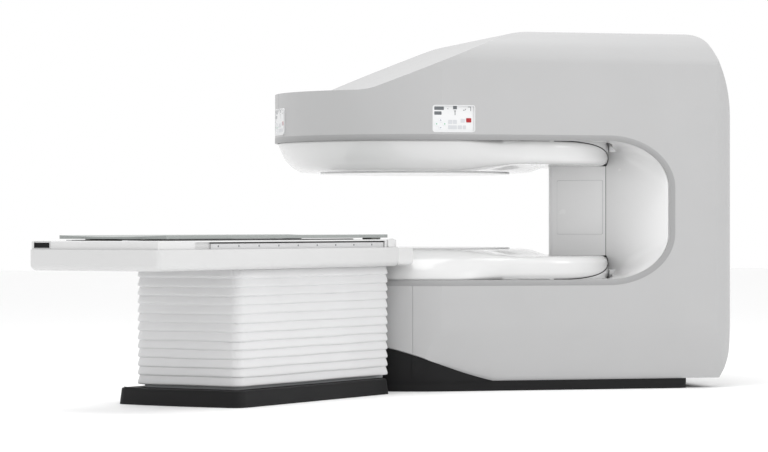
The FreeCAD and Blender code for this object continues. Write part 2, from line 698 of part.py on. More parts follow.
rails = []
screws = []
caps = []
rail_head = slot_head - size("rail_play")
rail_foot = rail_head - size("rail_length")
rail_low = slot_low + size("seat_gap")
rail_high = rail_low + size("rail_height")
rail_middle = (rail_low + rail_high) / 2
cap_foot = slot_head + size("cap_start")
cap_wide = size("cap_width")
cap_low = size("shell_top") + size("seat_gap")
pocket_depth = size("pocket_depth")
SCREW_COUNT = 9
SCREW_START = 0.35  # of a pitch in from the rail's foot end
for side in (-1, 1):
    inner = side * (deck_half - size("slot_depth"))
    face = inner + side * size("rail_thickness")
    rail = block(rail_foot, rail_head, min(inner, face), max(inner, face), rail_low, rail_high)
    for k in range(SCREW_COUNT):
        x = rail_foot + size("rail_length") * (k + SCREW_START) / SCREW_COUNT
        seat = VEC(x, face - side * pocket_depth, rail_middle)
        out = VEC(0, side, 0)
        rail = rail.cut(Part.makeCylinder(size("screw_radius") + size("pocket_play"),
                                          pocket_depth, seat, out))
        screws.append(Part.makeCylinder(size("screw_radius"), size("screw_length"), seat, out))
    rails.append(rail)
    cap = block(cap_foot, cap_foot + size("cap_length"),
                min(side * deck_half, side * (deck_half + cap_wide)),
                max(side * deck_half, side * (deck_half + cap_wide)),
                cap_low, size("shell_top") + size("cap_height"))
    caps.append(cap.makeFillet(size("cap_edge"), cap.Edges))
feature("accessory_rails", Part.makeCompound(rails), turn)
feature("rail_screws", Part.makeCompound(screws), turn)
feature("rail_end_caps", Part.makeCompound(caps), turn)

guide_middle = size("guide_offset")
guide_half = size("guide_half")
guide_top = size("deck_top") + size("guide_height")
pad_middle = size("pad_offset")
pad_half = size("pad_half")
pad_head = deck_head - size("pad_shy")
guides = []
pads = []
for side in (-1, 1):
    guides.append(block(deck_foot + size("guide_foot_shy"), deck_head - size("guide_head_shy"),
                        side * guide_middle - guide_half, side * guide_middle + guide_half,
                        size("deck_top"), guide_top))
    pads.append(block(pad_head - size("pad_length"), pad_head, side * pad_middle - pad_half,
                      side * pad_middle + pad_half, size("deck_top"),
                      size("board_bottom") - size("seat_gap")))
feature("deck_guide_rails", Part.makeCompound(guides), turn)
feature("deck_glide_pads", Part.makeCompound(pads), turn)

motor = doc.addObject("Part::Cylinder", "slide_motor")
bind(motor, Radius="Sizes.motor_radius", Height="Sizes.motor_length")
place(motor, "Sizes.column_head - Sizes.motor_reach", "-Sizes.motor_length / 2",
      "Sizes.shell_bottom + Sizes.shell_wall + Sizes.motor_radius")
motor.Placement.Rotation = FreeCAD.Rotation(VEC(1, 0, 0), -90)
gearbox = box("slide_gearbox", "Sizes.gearbox_length", "Sizes.gearbox_width",
              "Sizes.gearbox_height", "Sizes.column_head - Sizes.drive_reach", "0",
              "Sizes.shell_bottom + Sizes.shell_wall")
keep(place(group("slide_drive", motor, gearbox), turn=table), "slide_drive")

# ---- tabletop ------------------------------------------------------------------------------

board_head = head - 1
board_half = size("board_half")
board_section = [
    Part.LineSegment(VEC(board_head, -board_half, size("board_bottom")),
                     VEC(board_head, board_half, size("board_bottom"))),
    Part.LineSegment(VEC(board_head, board_half, size("board_bottom")),
                     VEC(board_head, board_half, size("board_top"))),
    Part.Arc(VEC(board_head, board_half, size("board_top")),
             VEC(board_head, 0, size("board_top") - size("board_dish")),
             VEC(board_head, -board_half, size("board_top"))),
    Part.LineSegment(VEC(board_head, -board_half, size("board_top")),
                     VEC(board_head, -board_half, size("board_bottom"))),
]
board = Part.Face(Part.Wire([e.toShape() for e in board_section]))
feature("tabletop", board.extrude(VEC(-size("board_length"), 0, 0)), turn)

runner_foot = board_head - size("board_length") + size("runner_shy")
runner_half = size("runner_half")
runner_low = guide_top + size("seat_gap")
runners = [
    block(runner_foot, runner_foot + size("runner_length"), side * guide_middle - runner_half,
          side * guide_middle + runner_half, runner_low,
          size("board_bottom"))
    for side in (-1, 1)
]
feature("tabletop_runners", Part.makeCompound(runners), turn)

# ---- control panels ------------------------------------------------------------------------

KEYS = {
    # name: centre across, centre up, width, height, from the middle of the panel
    "stop_key": (78, -8, 26, 21),
    "up_key": (-68, -8, 17, 15),
    "down_key": (-68, -45, 17, 15),
    "left_key": (-89, -27, 17, 15),
    "right_key": (-47, -27, 17, 15),
}
DISPLAYS = [(-76, 51, 50, 17), (-82, 27, 38, 17)]
DISPLAY_PLAY = 0.1
recess_y = wide - size("panel_recess")


def button(across, up, width, height, margin, front, depth):
    """A round-cornered block for a key or a key's hole."""
    w = width / 2 + margin
    t = height / 2 + margin
    r = size("key_corner") + margin
    z = panel_middle + up
    return prism([
        (across - w, z - t, r), (across + w, z - t, r), (across + w, z + t, r),
        (across - w, z + t, r),
    ], upright(-front), VEC(0, depth, 0))


for name, turn_panel in (("near", 0), ("front", -90)):
    gap = size("key_gap")
    proud = size("panel_recess")
    frame = panel_prism(gap, wide + proud, proud + size("panel_depth"))
    frame = frame.common(gantry_block(2 * gap, foot))
    frame = frame.cut(panel_prism(size("panel_rim"), wide + proud, 2 * proud))
    face_y = recess_y + size("fascia_thickness")
    fascia = panel_prism(size("panel_rim") + gap, face_y, size("fascia_thickness"))
    for key, (across, up, width, height) in KEYS.items():
        frame = frame.cut(button(across, up, width, height, gap, recess_y,
                                 size("key_depth") + size("key_travel")))
        fascia = fascia.cut(button(across, up, width, height, gap, face_y + 1,
                                   size("key_depth")))
        cap = button(across, up, width, height, 0, face_y + size("key_stand"),
                     size("key_depth") + size("key_stand"))
        feature(f"{name}_{key}", cap, turn_panel)
    glasses = []
    for across, up, width, height in DISPLAYS:
        fascia = fascia.cut(button(across, up, width, height, DISPLAY_PLAY, face_y + 1,
                                   1 + size("fascia_thickness") / 2))
        glasses.append(button(across, up, width, height, 0, face_y,
                              size("fascia_thickness") / 2))
    feature(f"{name}_panel_frame", frame, turn_panel)
    feature(f"{name}_panel_fascia", fascia, turn_panel)
    feature(f"{name}_panel_displays", Part.makeCompound(glasses), turn_panel)

# ---- check and write ---------------------------------------------------------------------

doc.recompute()
for thing in doc.Objects:
    if "Invalid" in thing.State or "Error" in thing.State:
        raise RuntimeError(f"{thing.Label} failed to build")
os.makedirs("parts", exist_ok=True)
for thing in subparts:
    shape = thing.Shape
    if shape.isNull() or not shape.isValid() or not shape.Solids:
        raise RuntimeError(f"{thing.Label} has no valid solid")
    shape.exportStep(f"parts/{thing.Label}.step")
    print(f"{thing.Label}: {len(shape.Solids)} solids, {shape.Volume / 1e6:.2f} litres")
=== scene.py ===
"""Open MRI scanner: look model of the C-shaped gantry and its docked patient table."""
import bmesh
import bpy
import json
import math
from mathutils import Euler, Matrix, Vector


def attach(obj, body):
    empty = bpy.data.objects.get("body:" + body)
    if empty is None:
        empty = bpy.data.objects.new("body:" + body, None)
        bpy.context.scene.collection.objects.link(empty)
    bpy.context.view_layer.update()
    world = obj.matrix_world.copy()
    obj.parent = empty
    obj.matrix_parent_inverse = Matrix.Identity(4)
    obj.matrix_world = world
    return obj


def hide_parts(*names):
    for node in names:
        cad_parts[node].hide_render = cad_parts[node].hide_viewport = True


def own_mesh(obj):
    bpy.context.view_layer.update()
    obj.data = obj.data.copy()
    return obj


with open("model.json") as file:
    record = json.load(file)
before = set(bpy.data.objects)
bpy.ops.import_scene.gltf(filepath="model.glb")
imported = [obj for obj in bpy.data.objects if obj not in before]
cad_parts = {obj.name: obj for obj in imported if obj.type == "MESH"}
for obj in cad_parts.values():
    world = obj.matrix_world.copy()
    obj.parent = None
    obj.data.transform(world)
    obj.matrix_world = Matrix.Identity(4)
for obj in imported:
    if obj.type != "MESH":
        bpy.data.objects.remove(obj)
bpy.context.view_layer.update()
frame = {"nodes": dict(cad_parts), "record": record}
nodes = frame["nodes"]

# ---- camera ----------------------------------------------------------------------------

VIEW_TURN = math.radians(14.94)
CAMERA_PLACE = (-4.199, -15.109, 0.8265)
LENS = 140.6
camera_data = bpy.data.cameras.new("studio_camera")
camera_data.sensor_width = 36
camera_data.lens = LENS
camera_data.clip_end = 100
camera = bpy.data.objects.new("studio_camera", camera_data)
camera.location = CAMERA_PLACE
camera.rotation_euler = Euler((math.radians(90), 0, -VIEW_TURN))
bpy.context.scene.collection.objects.link(camera)
bpy.context.scene.camera = camera

# ---- light and floor -------------------------------------------------------------------

bpy.context.scene.view_settings.view_transform = "Standard"
world = bpy.data.worlds.new("studio")
bpy.context.scene.world = world
world.use_nodes = True
sky = world.node_tree.nodes["Background"]
sky.inputs["Color"].default_value = (1, 1, 1, 1)
sky.inputs["Strength"].default_value = 1.0


def area_light(name, place, target, size, power):
    """A square soft box that shines at a target."""
    data = bpy.data.lights.new(name, "AREA")
    data.shape = "SQUARE"
    data.size = size
    data.energy = power
    light = bpy.data.objects.new(name, data)
    light.location = place
    light.rotation_euler = (Vector(target) - Vector(place)).to_track_quat("-Z", "Y").to_euler()
    bpy.context.scene.collection.objects.link(light)


area_light("key", (6.5, -8, 5.5), (0, 0, 1), 4.5, 190)
area_light("overhead", (-1, -1.5, 6.5), (0, 0, 1), 5, 200)
area_light("left_fill", (-7, -5, 1.6), (0.6, 0, 0.9), 3, 14)


# ---- materials -------------------------------------------------------------------------

PATCHES = 3.0
ROUGH_SHIFT = 0.06


def link(tree, a, b):
    """Join two sockets."""
    tree.links.new(a, b)


def finish(name, colour, roughness, grain=600, bump=0.02, shade=0.03, coat=0.0, metal=0.0,
           sheen=0.0, stretch=(1, 1, 1), specular=0.5):
    """A moulded, painted or woven surface: fine grain in its bump, slow drift in its colour."""
    material = bpy.data.materials.new(name)
    material.use_nodes = True
    tree = material.node_tree
    shader = tree.nodes["Principled BSDF"]
    shader.inputs["Metallic"].default_value = metal
    shader.inputs["Coat Weight"].default_value = coat
    shader.inputs["Coat Roughness"].default_value = 0.06
    shader.inputs["Sheen Weight"].default_value = sheen
    shader.inputs["Specular IOR Level"].default_value = specular
    place = tree.nodes.new("ShaderNodeTexCoord")
    mapping = tree.nodes.new("ShaderNodeMapping")
    mapping.inputs["Scale"].default_value = stretch
    link(tree, place.outputs["Object"], mapping.inputs["Vector"])

    drift = tree.nodes.new("ShaderNodeTexNoise")
    drift.inputs["Scale"].default_value = PATCHES
    drift.inputs["Detail"].default_value = 4
    link(tree, mapping.outputs["Vector"], drift.inputs["Vector"])
    ramp = tree.nodes.new("ShaderNodeValToRGB")
    low = [c * (1 - shade) for c in colour]
    high = [min(1, c * (1 + shade)) for c in colour]
    ramp.color_ramp.elements[0].color = (*low, 1)
    ramp.color_ramp.elements[1].color = (*high, 1)
    ramp.color_ramp.elements[0].position = 0.3
    ramp.color_ramp.elements[1].position = 0.7
    link(tree, drift.outputs["Fac"], ramp.inputs["Fac"])
    link(tree, ramp.outputs["Color"], shader.inputs["Base Color"])

    rough = tree.nodes.new("ShaderNodeMapRange")
    rough.inputs["To Min"].default_value = max(0.02, roughness - ROUGH_SHIFT)
    rough.inputs["To Max"].default_value = min(1, roughness + ROUGH_SHIFT)
    link(tree, drift.outputs["Fac"], rough.inputs["Value"])
    link(tree, rough.outputs["Result"], shader.inputs["Roughness"])

    fine = tree.nodes.new("ShaderNodeTexNoise")
    fine.inputs["Scale"].default_value = grain
    fine.inputs["Detail"].default_value = 3
    link(tree, mapping.outputs["Vector"], fine.inputs["Vector"])
    relief = tree.nodes.new("ShaderNodeBump")
    relief.inputs["Strength"].default_value = bump
    relief.inputs["Distance"].default_value = 0.001
    link(tree, fine.outputs["Fac"], relief.inputs["Height"])
    link(tree, relief.outputs["Normal"], shader.inputs["Normal"])
    return material


cover_paint = finish("cover_paint", (0.42, 0.42, 0.422), 0.42, grain=900, bump=0.05, shade=0.012)
# band grey: partly the trim band's own tone, partly painted shade in place of a bevel's shading
band_grey_and_shade = finish("band_grey_and_shade", (0.30, 0.30, 0.302), 0.38, grain=900, bump=0.05, shade=0.012)
gloss_white = finish("gloss_white", (0.65, 0.65, 0.65), 0.16, grain=500, bump=0.02, shade=0.01,
                     coat=0.5)
# A lit copy of gloss_white: the same white plastic made brighter, painted light for the liners, the
# nose and its fillers inside the opening.
lit_opening_white = finish("lit_opening_white", (0.88, 0.88, 0.88), 0.25, grain=500, bump=0.02, shade=0.01,
                     coat=0.4)
deck_white = finish("deck_white", (0.60, 0.60, 0.60), 0.3, grain=700, bump=0.03, shade=0.01)
black_shell = finish("black_shell", (0.004, 0.004, 0.0045), 0.6, grain=1400, bump=0.2,
                     shade=0.1, specular=0.25)
bellows_cloth = finish("bellows_cloth", (0.64, 0.64, 0.645), 0.7, grain=1500, bump=0.15,
                       shade=0.02, sheen=0.2)
frame_grey = finish("frame_grey", (0.35, 0.36, 0.37), 0.45, grain=900, bump=0.05)
iron_cast = finish("iron_cast", (0.10, 0.10, 0.105), 0.7, grain=260, bump=0.4, metal=0.6)
magnet_plate = finish("magnet_plate", (0.30, 0.30, 0.32), 0.35, grain=200, bump=0.1, metal=0.9)
cast_resin = finish("cast_resin", (0.35, 0.25, 0.10), 0.4, grain=200, bump=0.1)
copper_sheet = finish("copper_sheet", (0.60, 0.30, 0.16), 0.3, grain=400, bump=0.05, metal=1)
tube_steel = finish("tube_steel", (0.45, 0.45, 0.46), 0.3, grain=500, bump=0.1, metal=1,
                    stretch=(1, 1, 0.02))
nylon = finish("nylon", (0.70, 0.70, 0.66), 0.5, grain=800, bump=0.05)
rail_coat = finish("rail_coat", (0.62, 0.62, 0.625), 0.3, grain=900, bump=0.03, shade=0.01)
board_laminate = finish("board_laminate", (0.32, 0.34, 0.33), 0.45, grain=1200, bump=0.1)
panel_case = finish("panel_case", (0.70, 0.705, 0.71), 0.4, grain=1200, bump=0.05)
display_dark = finish("display_dark", (0.10, 0.11, 0.12), 0.12, grain=300, bump=0.01, coat=1)
key_red = finish("key_red", (0.36, 0.006, 0.012), 0.4, grain=1200, bump=0.08)
key_grey = finish("key_grey", (0.30, 0.32, 0.35), 0.45, grain=1200, bump=0.08)
floor_paint = finish("floor_paint", (0.95, 0.95, 0.95), 0.6, grain=40, bump=0.02, shade=0.004)
# Near-black for the seam beads; in the cover gaps and the rail slots it is painted shade.
seam_and_shade_black = finish("seam_and_shade_black", (0.012, 0.012, 0.012), 0.6, grain=1500, bump=0.1)
pad_film = finish("pad_film", (0.55, 0.56, 0.58), 0.35, grain=900, bump=0.03)
key_cap_light = finish("key_cap_light", (0.74, 0.75, 0.77), 0.4, grain=1200, bump=0.05)
key_green = finish("key_green", (0.12, 0.42, 0.20), 0.45, grain=1200, bump=0.08)

SLOT_FINISH = {
    "side_cover": cover_paint, "white_cover": gloss_white, "pole_plate_white": gloss_white,
    "black_plastic": black_shell, "iron": iron_cast, "magnet": magnet_plate,
    "resin": cast_resin, "copper": copper_sheet, "bellows_fabric": bellows_cloth,
    "frame_paint": frame_grey, "steel": tube_steel, "nylon": nylon, "rail_white": rail_coat,
    "board": board_laminate, "panel_light": panel_case, "display": display_dark,
    "key_red": key_red, "key_grey": key_cap_light, "key_green": key_cap_light,
}
# The liners and the pillar nose panel take the brighter copy of the white: painted light.
NODE_FINISH = {  # nodes whose finish isn't their slot's own
    "near_liner": lit_opening_white, "far_liner": lit_opening_white, "pillar_nose_panel": lit_opening_white,
    "lift_head_frame": bellows_cloth, "rail_screws": display_dark,
}
for entry in frame["record"]["subparts"]:
    cad_object = nodes[entry["node"]]
    cad_object.data.materials.clear()
    cad_object.data.materials.append(
        NODE_FINISH.get(entry["node"], SLOT_FINISH[entry["material_slot"]]))

# ---- mesh helpers ------------------------------------------------------------------------

TABLE_TURN = Matrix.Rotation(math.radians(45), 4, "Z")


def piece(name, bm, material, body, sharp=35):
    """Turn a finished bmesh into a named piece that rides on a body."""
    bmesh.ops.remove_doubles(bm, verts=bm.verts, dist=0.00002)
    bmesh.ops.recalc_face_normals(bm, faces=bm.faces)
    mesh = bpy.data.meshes.new(name)
    bm.to_mesh(mesh)
    bm.free()
    for polygon in mesh.polygons:
        polygon.use_smooth = True
    mesh.set_sharp_from_angle(angle=math.radians(sharp))
    mesh.materials.append(material)
    made = bpy.data.objects.new(name, mesh)
    bpy.context.scene.collection.objects.link(made)
    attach(made, body)
    return made


def block(low, high):
    """A bmesh block between two corners."""
    bm = bmesh.new()
    bmesh.ops.create_cube(bm, size=1)
    span = [b - a for a, b in zip(low, high)]
    bmesh.ops.scale(bm, vec=span, verts=bm.verts)
    bmesh.ops.translate(bm, vec=[(a + b) / 2 for a, b in zip(low, high)], verts=bm.verts)
    return bm


def ease(bm, edges, width, steps=4):
    """Round some edges."""
    bmesh.ops.bevel(bm, geom=edges, offset=width, offset_type="OFFSET", segments=steps,
                    profile=0.5, affect="EDGES", material=-1, clamp_overlap=True)


def run_of(edge):
    """The direction of an edge."""
    return (edge.verts[1].co - edge.verts[0].co).normalized()


def turn_to_table(bm):
    """Turn a piece drawn along X to the table's direction."""
    bmesh.ops.transform(bm, matrix=TABLE_TURN, verts=bm.verts)


def ring(bm, count):
    """A closed ring of vertices in order, with the edges between them."""
    made = bmesh.ops.create_circle(bm, cap_ends=False, segments=count, radius=1)
    return made["verts"]


def grow(bm, verts, place):
    """Extrude a closed ring and move each new vertex to where place(index) says."""
    count = len(verts)
    edges = [bm.edges.get((verts[i], verts[(i + 1) % count])) for i in range(count)]
    made = bmesh.ops.extrude_edge_only(bm, edges=edges)
    fresh = [v for v in made["geom"] if isinstance(v, bmesh.types.BMVert)]
    partner = {}
    for vert in verts:
        for edge in vert.link_edges:
            other = edge.other_vert(vert)
            if other in fresh:
                partner[vert] = other
    ordered = [partner[vert] for vert in verts]
    for i, vert in enumerate(ordered):
        vert.co = place(i)
    return ordered


def smooth_step(t):
    """A soft ramp from 0 to 1."""
    t = min(1, max(0, t))
    return t * t * (3 - 2 * t)


# ---- side cover trim band around the patient opening ---------------------------------------

RADIUS = 0.731
FRONT_RADIUS = 0.7335
FRONT_MIDDLE = (0.0025, -0.0005)
ISO = 0.906  # height of the middle of the patient gap
CEILING = 1.2565
FLOOR = 0.5555
OPEN_END = 1.144
CORNER_LONG = 0.329
CORNER_TALL = 0.236
BAND_WIDTH = 0.029


def opening_stations():
    """The edge of the opening round both sides of the gantry: place, outward way, face way."""
    half = []
    for k in range(33):  # front round, from the far side's middle line towards the near side
        angle = math.pi + math.pi / 2 * k / 32
        way = Vector((math.cos(angle), math.sin(angle), 0))
        level_y = max(-RADIUS, FRONT_MIDDLE[1] + way.y * FRONT_RADIUS)
        half.append((Vector((FRONT_MIDDLE[0] + way.x * FRONT_RADIUS, level_y, CEILING)),
                     Vector((0, 0, 1)), way))
    near = Vector((0, -1, 0))
    straight = OPEN_END - CORNER_LONG
    for k in range(1, 17):
        half.append((Vector((straight * k / 17, -RADIUS, CEILING)), Vector((0, 0, 1)), near))
    for k in range(25):
        angle = math.pi / 2 * (1 - k / 24)
        across = math.cos(angle)
        up = math.sin(angle)
        out = Vector((across * CORNER_TALL, 0, up * CORNER_LONG)).normalized()
        half.append((Vector((straight + CORNER_LONG * across, -RADIUS,
                             CEILING - CORNER_TALL * (1 - up))), out, near))
    lower = [(Vector((p.x, p.y, 2 * ISO - p.z)), Vector((o.x, o.y, -o.z)), f)
             for p, o, f in reversed(half)]
    near_side = half + lower
    far_side = [(Vector((p.x, -p.y, p.z)), Vector((o.x, -o.y, o.z)), Vector((f.x, -f.y, f.z)))
                for p, o, f in reversed(near_side)]
    return near_side[:-1] + far_side[:-1]


def trim_band():
    """The darker strip that frames the opening, with its lip turned in over the cover's edge. Its
    darker grey is partly the band's own tone and partly painted shade standing in for a bevel.
    """
    stations = opening_stations()
    bm = bmesh.new()
    verts = ring(bm, len(stations))
    section = [(-0.0006, -0.013), (-0.0006, -0.0012), (0.0012, 0.0008), (0.027, 0.0008),
               (BAND_WIDTH, 0.0), (BAND_WIDTH, -0.0025)]

    def spot(row):
        out, proud = section[row]
        return lambda i: stations[i][0] + stations[i][1] * out + stations[i][2] * proud

    for i, vert in enumerate(verts):
        vert.co = spot(0)(i)
    for row in range(1, len(section)):
        verts = grow(bm, verts, spot(row))
    return piece("opening_trim_band", bm, band_grey_and_shade, "gantry", sharp=50)


trim_band()

# ---- pole covers -------------------------------------------------------------------------

COVER_RADIUS = 0.716
NOSE_X = 0.971
NOSE_HALF = 0.236
LIP = 1.260
SLAB_BOTTOM = 1.1395
SLAB_EDGE = 0.038
DISH_FLOOR = 1.1045
PLATE_RADIUS = 0.572
INNER_RING = 0.56
FLOOR_RINGS = 36
WALL_ROWS = 3
RIM_STATIONS = 288
SKIN = 0.004
DISH_LEVELS = [  # height, and radius of the dish wall there
    (1.2600, 0.716), (1.2440, 0.7135), (1.2110, 0.699), (1.1750, 0.681), (1.1450, 0.657),
    (1.1210, 0.627), (1.1070, 0.600), (1.1045, 0.572),
]
# where each run of half a rim starts, and how much of the rim it takes
FLANK_START, FLANK_SHARE = 0.5, 0.16
CURVE_START, CURVE_SHARE = 0.66, 0.2
BACK_START, BACK_SHARE = 0.86, 0.14
FLANK_END = 0.534
FLANK_DRIFT = 0.016
FLANK_CURVE = [(FLANK_END, -0.700), (0.76, -0.695), (0.93, -0.49), (NOSE_X, -NOSE_HALF)]


def cover_plan(i, count):
    """A point of the pole cover's rim, and its outward way."""
    share = i / count
    mirrored = share > 0.5
    t = 2 * (1 - share) if mirrored else 2 * share
    if t < FLANK_START:  # the round front
        angle = math.pi - math.pi / 2 * t / FLANK_START
        point = Vector((COVER_RADIUS * math.cos(angle), -COVER_RADIUS * math.sin(angle)))
        way = point.normalized()
    elif t < CURVE_START:  # straight along the near side
        step = (t - FLANK_START) / FLANK_SHARE
        point = Vector((FLANK_END * step, -COVER_RADIUS + FLANK_DRIFT * smooth_step(step)))
        way = Vector((0, -1))
    elif t < BACK_START:  # the curve in to the pillar nose
        step = (t - CURVE_START) / CURVE_SHARE
        a, b, c, d = (Vector(p) for p in FLANK_CURVE)
        u = 1 - step
        point = a * u ** 3 + b * 3 * u * u * step + c * 3 * u * step ** 2 + d * step ** 3
        slope = (b - a) * 3 * u * u + (c - b) * 6 * u * step + (d - c) * 3 * step ** 2
        way = Vector((slope.y, -slope.x)).normalized()
    else:  # across behind the nose
        step = (t - BACK_START) / BACK_SHARE
        point = Vector((NOSE_X, -NOSE_HALF * (1 - step)))
        way = Vector((1, 0))
    if mirrored:
        point = Vector((point.x, -point.y))
        way = Vector((way.x, -way.y))
    return point, way


def slab_share(x):
    """How far the dish has turned into the slab at a place along the gantry."""
    return smooth_step((x - 0.03) / 0.36)


def cover_row(row, i, count):
    """Where a rim point lies on one row of the cover's edge, from its lip down to its floor."""
    point, way = cover_plan(i, count)
    height, radius = DISH_LEVELS[row]
    around = point.normalized()
    dish = Vector((around.x * radius, around.y * radius))
    turned = slab_share(point.x)
    if row < WALL_ROWS:
        reach = 0.0
        slab_z = LIP - (LIP - SLAB_BOTTOM - SLAB_EDGE) * row / (WALL_ROWS - 1)
    else:
        swing = math.pi / 2 * (row - WALL_ROWS + 1) / (len(DISH_LEVELS) - WALL_ROWS)
        reach = SLAB_EDGE * (1 - math.cos(swing))
        slab_z = SLAB_BOTTOM + SLAB_EDGE * (1 - math.sin(swing))
    slab = point - way * reach
    spot = dish.lerp(slab, turned)
    return Vector((spot.x, spot.y, height + (slab_z - height) * turned))


def cover_floor(ring_number, edge_spot):
    """The underside: the round dish floor rises smoothly to the slab's flat tier."""
    edge = Vector((edge_spot.x, edge_spot.y))
    reach = edge.length + (INNER_RING - edge.length) * (ring_number + 1) / FLOOR_RINGS
    spot = edge.normalized() * reach
    rise = smooth_step((reach - PLATE_RADIUS) / 0.148) * slab_share(edge.x)
    return Vector((spot.x, spot.y, DISH_FLOOR + (SLAB_BOTTOM - DISH_FLOOR) * rise))


def pole_cover(name, upper):
    """One glossy moulding: a round dish under the arm that runs on as a slab to the pillar."""
    count = RIM_STATIONS
    bm = bmesh.new()
    verts = ring(bm, count)
    for i, vert in enumerate(verts):
        vert.co = cover_row(0, i, count)
    for row in range(1, len(DISH_LEVELS)):
        verts = grow(bm, verts, lambda i, row=row: cover_row(row, i, count))
    brim = [v.co.copy() for v in verts]
    for number in range(FLOOR_RINGS):
        verts = grow(bm, verts, lambda i, number=number: cover_floor(number, brim[i]))
    bmesh.ops.contextual_create(bm, geom=verts)
    if not upper:
        bmesh.ops.scale(bm, vec=(1, 1, -1), space=Matrix.Translation((0, 0, -ISO)),
                        verts=bm.verts)
    made = piece(name, bm, gloss_white, "gantry", sharp=60)
    wall = made.modifiers.new("wall", "SOLIDIFY")
    wall.thickness = SKIN
    wall.offset = -1
    return made


upper_cover = pole_cover("upper_pole_moulding", True)
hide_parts("upper_pole_cover")
lower_cover = pole_cover("lower_pole_moulding", False)
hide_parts("lower_pole_cover")

# ---- seams of the pillar nose and its inset panel ---------------------------------------------


def dark_bead(name, points, thick):
    """A thin dark bead along a seam."""
    data = bpy.data.curves.new(name, "CURVE")
    data.dimensions = "3D"
    data.bevel_depth = thick / 2
    data.bevel_resolution = 2
    data.use_fill_caps = True
    line = data.splines.new("POLY")
    line.points.add(len(points) - 1)
    for spot, place in zip(line.points, points):
        spot.co = (*place, 1)
    data.materials.append(seam_and_shade_black)
    bead = bpy.data.objects.new(name, data)
    bpy.context.scene.collection.objects.link(bead)
    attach(bead, "gantry")


def slab_seam(side, up):
    """The seam where the slab's flank meets the wall of the opening, down to the nose's edge."""
    points = []
    steps = 30
    start = CEILING - 0.001
    for k in range(steps + 1):
        place, way = cover_plan(0.33 + 0.10 * k / steps, 1)
        drop = (k / steps) ** 2.2
        level = start - (start - SLAB_BOTTOM - 0.002) * drop
        place = place + way * 0.0012
        points.append((place.x, side * place.y, level if up else 2 * ISO - level))
    return points


for side_name, side in (("near", 1), ("far", -1)):
    upper_run = slab_seam(side, True)
    lower_run = slab_seam(side, False)
    dark_bead(side_name + "_nose_seam", upper_run + lower_run[::-1], 0.005)

# The beads round the pole covers' rims are painted shade: the shadow gap between each cover and the
# trim band.
GAP_LEVEL = 1.2568
GAP_PROUD = 0.0006
GAP_THICK = 0.0030
RIM_SPOTS = [cover_plan(i, 300) for i in range(99)]
for seam_name, level in (("upper_cover_gap", GAP_LEVEL), ("lower_cover_gap", 2 * ISO - GAP_LEVEL)):
    for side_name, side in (("near_", 1), ("far_", -1)):
        dark_bead(side_name + seam_name, [
            (p.x + w.x * GAP_PROUD, side * (p.y + w.y * GAP_PROUD), level)
            for p, w in RIM_SPOTS], GAP_THICK)


def nose_plate(name, grow_by, proud, paint):
    """A round-cornered plate on the nose's near flank."""
    start = Vector((0.715, 0, 0))
    along = Vector((0.256, -NOSE_HALF, 0))
    length = along.length
    bm = block((0.20 * length - grow_by, -0.001, 0.784 - grow_by),
               (0.95 * length + grow_by, proud, 1.066 + grow_by))
    ease(bm, [e for e in bm.edges if abs(run_of(e).y) > 0.9], 0.008 + grow_by, 5)
    ahead = along.normalized()
    outward = Vector((along.y, -along.x, 0)).normalized()
    turn = Matrix(((ahead.x, outward.x, 0, start.x), (ahead.y, outward.y, 0, start.y),
                   (0, 0, 1, 0), (0, 0, 0, 1)))
    bmesh.ops.transform(bm, matrix=turn, verts=bm.verts)
    return piece(name, bm, paint, "gantry")


nose_plate("nose_panel_gasket", 0.0012, 0.0008, frame_grey)
nose_plate("nose_inset_panel", 0, 0.0022, lit_opening_white)


FILLER_DROP = 0.045
FILLER_SINK = 0.004


def corner_filler(name, side, low, high):
    """A small white block that hides the hollow between the slab's rear corner and the liner."""
    span = sorted((side * 0.236, side * 0.325))
    bm = block((0.960, span[0], low), (1.003, span[1], high))
    ease(bm, bm.edges[:], 0.004, 2)
    return piece(name, bm, lit_opening_white, "gantry")


for side_name, side in (("near", -1), ("far", 1)):
    corner_filler(side_name + "_upper_corner", side, CEILING - FILLER_DROP, CEILING + FILLER_SINK)
    corner_filler(side_name + "_lower_corner", side, FLOOR - FILLER_SINK, FLOOR + FILLER_DROP)

# ---- marks and membrane pads on the control panels -------------------------------------------

PANEL_MIDDLE = 1.363
FACE = RADIUS - 0.008
CAP_PROUD = 0.0016
# left, bottom, right and top of each, in millimetres from the panel's middle
PADS = [(-28.9, -27, -7.5, -6.4), (-4.9, -27, 16.4, -6.4), (35.6, -20, 57.5, -1),
        (-28.9, -52.9, 16.9, -33.8), (21, -52.9, 42.9, -33.8), (47, -52.9, 63.5, -33.8)]
MARKS = [(-3.9, 46.5, 16.9, 64), (-32.5, 47, -28.3, 51), (5, 17, 8.5, 40), (0.5, 37, 13, 40),
         (73, 57, 90, 60), (87, 38, 90, 57), (50, 40, 56, 45), (60, 42, 63, 50)]
# place across and up in millimetres, and turn in degrees
ARROWS = {"up_key": (-68, -8, 0), "down_key": (-68, -45, 180), "left_key": (-89, -27, 90),
          "right_key": (-47, -27, -90)}
FACE_TURN = {"near": 0, "front": -90}


def panel_block(low, high, edge):
    """A small block on the panel's face, with softened upright edges."""
    bm = block(low, high)
    ease(bm, [e for e in bm.edges if abs(run_of(e).y) > 0.9], edge, 3)
    return bm


def to_panel(bm, where):
    """Turn a piece from the near panel to its own panel."""
    bmesh.ops.rotate(bm, cent=(0, 0, 0), matrix=Matrix.Rotation(
        math.radians(FACE_TURN[where]), 3, "Z"), verts=bm.verts)


